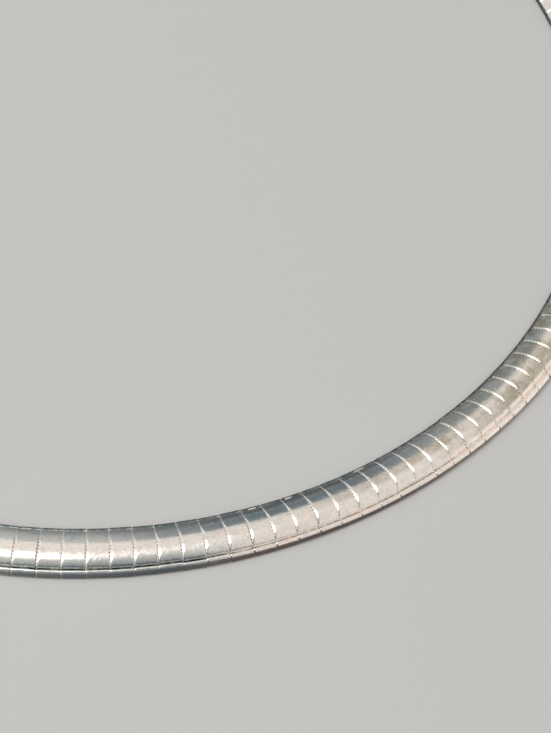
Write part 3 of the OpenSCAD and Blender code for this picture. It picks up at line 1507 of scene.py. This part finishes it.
@dataclass(frozen=True)
class BoxClasp:
    """The plain clasp at the back: a rounded box, bent with the loop, with a seam and two collars."""

    band: Band
    height: float = 2.3 * MM
    edge_radius: float = 0.7 * MM
    foot_radius: float = 0.3 * MM
    # Distance from the clasp's middle to the seam and to the two collar lines
    lines: tuple[float, ...] = (-5.91 * MM, 0.0 * MM, 5.91 * MM)
    # How far from a line's middle each ring of points lies, and how deep it lies there
    line_rings: tuple[Ring, ...] = (
        (-0.15 * MM, 0.0 * MM),
        (-0.12 * MM, 0.02 * MM),
        (-0.08 * MM, 0.15 * MM),
        (0.08 * MM, 0.15 * MM),
        (0.12 * MM, 0.02 * MM),
        (0.15 * MM, 0.0 * MM),
    )
    # The same from each end inwards
    end_rings: tuple[Ring, ...] = (
        (0.0 * MM, 0.1 * MM),
        (0.03 * MM, 0.03 * MM),
        (0.1 * MM, 0.0 * MM),
    )
    socket_depth: float = 2.5 * MM
    # How far the cutter reaches past the end
    cut_past: float = 0.5 * MM
    socket_steps: int = 4
    corner_steps: int = 6
    ring_spacing: float = 1.2 * MM
    smooth_angle: float = math.radians(40)

    @property
    def half_length(self) -> float:
        """Half the clasp's length on the middle of the band."""
        return (self.band.clasp_angle - self.band.angle(self.band.worn_gap)) / 2 * self.band.radius

    def _outline(self) -> bpy.types.Object:
        """Draw the clasp's section as a closed wire, across the loop at +X.

        Returns:
            The wire.
        """
        half = self.band.width / 2
        upright = self.height - self.edge_radius - self.foot_radius
        wire = Bench.single_point(Vector((self.band.radius - half + self.foot_radius, 0, 0)))
        self._corner(Edge.INNER, self.foot_radius, self.foot_radius)
        Bench.line_by((0, 0, upright))
        self._corner(Edge.INNER, self.edge_radius, self.height - self.edge_radius)
        Bench.line_by((2 * (half - self.edge_radius), 0, 0))
        self._corner(Edge.OUTER, self.edge_radius, self.height - self.edge_radius)
        Bench.line_by((0, 0, -upright))
        self._corner(Edge.OUTER, self.foot_radius, self.foot_radius)
        Bench.line_by((-2 * (half - self.foot_radius), 0, 0))
        Bench.merge_doubles()
        Bench.done()
        return wire

    def _corner(self, edge: Edge, radius: float, z: float) -> None:
        """Draw one rounded corner of the section, its middle at a height."""
        across = edge.value * (self.band.width / 2 - radius)
        Bench.arc_by(-QUARTER_TURN, (self.band.radius + across, 0, z), self.corner_steps)

    def _rings(self) -> list[Ring]:
        """Where the rings of points lie along the clasp, and how deep each is drawn in.

        Returns:
            The rings in their order along the clasp.
        """
        half = self.half_length
        rings = [(place - half, draw) for place, draw in self.end_rings]
        rings += [(half - place, draw) for place, draw in self.end_rings]
        rings += [(line + place, draw) for line in self.lines for place, draw in self.line_rings]
        rings.sort()
        between = []
        for (start, _), (end, _) in zip(rings, rings[1:]):
            steps = math.ceil((end - start) / self.ring_spacing)
            between += [(start + (end - start) * step / steps, 0.0) for step in range(1, steps)]
        return sorted(rings + between)

    def _box(self) -> bpy.types.Object:
        """Spin the section along the loop and draw its rings in at the ends and the lines.

        Returns:
            The box, its middle at +X.
        """
        band = self.band
        box = self._outline()
        rings = [(band.angle(place), draw) for place, draw in self._rings()]
        first = rings[0][0]
        box.data.transform(round_by(first))
        Bench.edit()
        bpy.ops.mesh.select_all(action="SELECT")
        for (start, _), (end, _) in zip(rings, rings[1:]):
            Bench.turn_by(end - start)
        reach = (band.width / 2, self.height / 2)
        for angle, draw in rings:
            if draw:
                middle = band.place(angle, 0.0, self.height / 2)
                Bench.draw_in(box, Bench.at_angle(angle), draw, reach, middle)
        Bench.close_at(box, Bench.at_angle(first), Bench.at_angle(-first))
        return box

    def _socket(self) -> bpy.types.Object:
        """Model the cutter for a socket, from angle 0 anticlockwise.

        Returns:
            The cutter.
        """
        band = self.band
        inner, outer = band.inner_dome, band.outer_dome
        inner_angle = math.acos((band.sheet - inner.z) / (inner.radius - band.sheet))
        outer_angle = math.acos((band.sheet - outer.z) / (outer.radius - band.sheet))
        start_x = inner.x - (inner.radius - band.sheet) * math.sin(inner_angle)
        socket = Bench.single_point(Vector((band.radius + start_x, 0, band.sheet)))
        Bench.arc_by(-inner_angle, (band.radius + inner.x, 0, inner.z), self.corner_steps)
        Bench.arc_by(-outer_angle, (band.radius + outer.x, 0, outer.z), self.corner_steps)
        Bench.merge_doubles()
        bpy.ops.mesh.edge_face_add()
        Bench.turn_by(band.angle(self.socket_depth + self.cut_past), self.socket_steps)
        Bench.done()
        Bench.face_outwards(socket)
        return socket

    def build(self, material: bpy.types.Material) -> bpy.types.Object:
        """Model the clasp and cut its sockets.

        Args:
            material: The clasp's finish.

        Returns:
            The clasp.
        """
        box = self._box()
        depth, end = self.band.angle(self.socket_depth), self.band.angle(self.half_length)
        for start in (-end - self.band.angle(self.cut_past), end - depth):
            socket = self._socket()
            socket.data.transform(round_by(start))
            Bench.apply_modifier(box, "BOOLEAN", object=socket, operation="DIFFERENCE", solver="EXACT")
            bpy.data.objects.remove(socket)
        clasp = Bench.name(box, "box_clasp")
        clasp.data.transform(round_by(QUARTER_TURN))
        Bench.smooth(clasp, self.smooth_angle)
        Bench.apply_modifier(clasp, "WEIGHTED_NORMAL", keep_sharp=True, weight=100)
        Bench.paint(clasp, material)
        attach(clasp, BODY)
        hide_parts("clasp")
        report(clasp)
        return clasp


@dataclass(frozen=True)
class Studio:
    """The floor, the light and the camera."""

    band: Band
    floor_size: float = 6.0
    floor_gap: float = 0.02 * MM
    floor_colour: Colour = (0.41, 0.415, 0.42)
    floor_roughness: float = 0.8
    # The room's colours
    sky: Colour = (0.78, 0.745, 0.7)
    far_shade: Colour = (0.145, 0.18, 0.205)
    near_shade: Colour = (0.07, 0.1, 0.135)
    sunny: Colour = (1.05, 0.98, 0.87)
    below: Colour = (0.06, 0.07, 0.08)
    below_far: Colour = (0.095, 0.11, 0.12)
    below_left: Colour = (0.27, 0.26, 0.25)
    below_right: Colour = (0.1, 0.08, 0.075)
    glow: Colour = (3.0, 2.95, 2.85)
    backdrop: Colour = (0.5, 0.5, 0.5)
    # Degrees round from the front, towards +X, between which each part of the room begins or ends
    near_right: Span = (20, 14)
    near_left: Span = (-26, -17)
    right_begins: Span = (13, 20)
    right_ends: Span = (120, 100)
    sunny_begins: Span = (56, 68)
    left_begins: Span = (-17, -27)
    # Heights on the room's unit ball between which each part begins or ends
    sunny_top: Span = (0.35, 0.1)
    horizon: Span = (0.06, -0.08)
    right_horizon: Span = (0.12, -0.14)
    right_horizon_at: float = 0.34
    right_horizon_slope: float = 0.0105
    # The same along X, Y and Z for the glow, and along Y for the far side below
    glow_x: Span = (-0.065, -0.105)
    glow_near: Span = (-0.5, -0.44)
    glow_far: Span = (0.3, 0.12)
    glow_z: Span = (0.3, 0.5)
    far_begins: Span = (-0.1, 0.1)
    # The far shade's middle, as azimuth and elevation, and how many degrees from it the shade ends
    far_middle: tuple[float, float] = (4, 0)
    far_edge: Span = (38, 34)
    # The near shade's middle, how it deepens towards it, and where its lowest part deepens more
    near_middle: tuple[float, float] = (180, 0)
    near_slope: float = 0.9
    near_start: float = 0.11
    near_low: Span = (0.2, 0.5)
    near_low_top: Span = (0.32, 0.05)
    lamp_size: float = 0.22
    lamp_energy: float = 1.9
    lamp_colour: Colour = (1.0, 0.97, 0.92)
    lamp_azimuth: float = -104
    lamp_elevation: float = 50
    lamp_distance: float = 0.8
    # Pixels of focal length in a frame 551 wide and 733 high
    focal_pixels: float = 1200.0
    frame_height: float = 733.0
    sensor: float = 36.0
    nearest: float = 0.005
    # The camera's distance and height in radii of the loop, and how it is turned
    camera_back: float = 1.7203
    camera_up: float = 1.7073
    pitch: float = math.radians(57.64)
    yaw: float = math.radians(-15.08)
    roll: float = math.radians(11.3)
    # How far the photograph's gaps stand round from the frame's
    turn: float = math.radians(0.17)

    def floor(self) -> bpy.types.Object:
        """Lay the pale floor.

        Returns:
            The floor.
        """
        Bench.clear_selection()
        bpy.ops.mesh.primitive_plane_add(size=self.floor_size, location=(0, 0, -self.floor_gap))
        floor = Bench.name(bpy.context.object, "floor")
        made, board = Board.for_material("floor_paper")
        shader = board.node("ShaderNodeBsdfPrincipled", None, Base_Color=self.floor_colour,
                            Roughness=self.floor_roughness)
        board.node("ShaderNodeOutputMaterial", None, shader.outputs[0])
        Bench.paint(floor, made)
        floor.visible_glossy = False
        return floor

    @staticmethod
    def _direction(azimuth: float, elevation: float) -> Vector:
        """The unit vector to a place in the sky. Azimuth 0 is +Y and 90 is +X, in degrees.

        Args:
            azimuth: Degrees round.
            elevation: Degrees up.

        Returns:
            The vector.
        """
        turn, rise = math.radians(azimuth), math.radians(elevation)
        level = math.cos(rise)
        return Vector((math.sin(turn) * level, math.cos(turn) * level, math.sin(rise)))

    def world(self) -> None:
        """Light the room: a bright ceiling, a glow at the left, and shade at both sides and below."""
        world = bpy.data.worlds.new("studio_light")
        bpy.context.scene.world = world
        world.use_nodes = True
        board = Board(world.node_tree)
        ray = board.vector("NORMALIZE", board.node("ShaderNodeTexCoord").outputs["Generated"])
        x, y, z = board.parts(ray)
        around = board.degrees_round(x, y)
        right = around.step(*self.right_begins) * around.step(*self.right_ends)
        colour = board.mix(self._near_side(board, ray, around, z), self.sky, self.near_shade)
        colour = board.mix(self._far_side(board, ray), colour, self.far_shade)
        in_sun = around.step(*self.sunny_begins) * right * z.step(*self.sunny_top)
        colour = board.mix(in_sun, colour, self.sunny)
        under = board.mix(around.step(*self.left_begins), self.below, self.below_left)
        under = board.mix(y.step(*self.far_begins), under, self.below_far)
        colour = board.mix(z.step(*self.horizon) * (1 - right), colour, under)
        over_edge = z + around * self.right_horizon_slope - self.right_horizon_at
        colour = board.mix(over_edge.step(*self.right_horizon) * right, colour, self.below_right)
        glow = (x.step(*self.glow_x) * y.step(*self.glow_near) * y.step(*self.glow_far)
                * z.step(*self.glow_z))
        colour = board.mix(glow, colour, self.glow)
        to_camera = board.node("ShaderNodeLightPath").outputs["Is Camera Ray"]
        colour = board.mix(to_camera, colour, self.backdrop)
        light = board.node("ShaderNodeBackground", None, Color=colour, Strength=1.0)
        board.node("ShaderNodeOutputWorld", None, light.outputs[0])

    def _far_side(self, board: Board, ray: bpy.types.NodeSocket) -> Number:
        """The shade across the loop from the camera, up to where the ceiling's light begins.

        Args:
            board: The room's node tree.
            ray: The way that is looked.

        Returns:
            How much shade there is.
        """
        cosines = [math.cos(math.radians(degrees)) for degrees in self.far_edge]
        return board.dot(ray, self._direction(*self.far_middle)).step(*cosines)

    def _near_side(self, board: Board, ray: bpy.types.NodeSocket, around: Number, z: Number) -> Number:
        """The shade behind the camera: it deepens downwards, and ends at the right and at the left.

        Args:
            board: The room's node tree.
            ray: The way that is looked.
            around: How many degrees round from the front it lies.
            z: How high it points.

        Returns:
            How much shade there is.
        """
        behind = around.step(*self.near_right) * around.step(*self.near_left)
        towards = board.dot(ray, self._direction(*self.near_middle))
        low = towards.step(*self.near_low) * z.step(*self.near_low_top)
        return behind * ((towards * self.near_slope - self.near_start).clamped() + low).clamped()

    def lamp(self) -> bpy.types.Object:
        """Hang the one soft lamp.

        Returns:
            The lamp.
        """
        data = bpy.data.lights.new("lamp", "AREA")
        data.shape = "DISK"
        data.size = self.lamp_size
        data.energy = self.lamp_energy
        data.color = self.lamp_colour
        lamp = bpy.data.objects.new("lamp", data)
        bpy.context.scene.collection.objects.link(lamp)
        way = self._direction(self.lamp_azimuth, self.lamp_elevation)
        lamp.location = way * self.lamp_distance
        lamp.rotation_euler = way.to_track_quat("Z", "Y").to_euler()
        return lamp

    def camera(self) -> bpy.types.Object:
        """Set the camera where the photograph was taken from.

        Returns:
            The camera.
        """
        data = bpy.data.cameras.new("camera")
        data.sensor_width = self.sensor
        data.lens = self.focal_pixels * self.sensor / self.frame_height
        data.clip_start = self.nearest
        camera = bpy.data.objects.new("camera", data)
        bpy.context.scene.collection.objects.link(camera)
        right = Vector((math.cos(self.yaw), math.sin(self.yaw), 0))
        level = Vector((-right.y, right.x, 0))
        ahead = level * math.cos(self.pitch) - Vector((0, 0, math.sin(self.pitch)))
        up = right.cross(ahead)
        turned_right = math.cos(self.roll) * right + math.sin(self.roll) * up
        turned_up = math.cos(self.roll) * up - math.sin(self.roll) * right
        axes = Matrix((turned_right, turned_up, -ahead)).transposed().to_4x4()
        radius = self.band.radius
        place = Matrix.Translation((0, -self.camera_back * radius, self.camera_up * radius))
        camera.matrix_world = round_by(self.turn) @ place @ axes
        bpy.context.scene.camera = camera
        return camera

    def build(self) -> None:
        """Set up all of it."""
        self.floor()
        self.world()
        self.lamp()
        self.camera()
        bpy.context.scene.view_settings.view_transform = "Standard"


def main() -> None:
    """Load the frame, build each sub-assembly round it and set up the studio."""
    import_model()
    band = Band.from_frame()
    LOG.info("loop radius %.3f mm", band.radius / MM)
    polished = SilverFinish("polished_silver", band).material()
    PlateRow(band).build(polished)
    WovenCore(band).build(WireFinish("woven_silver_wire").material())
    BoxClasp(band).build(polished)
    Studio(band).build()


if __name__ == "__main__":
    main()
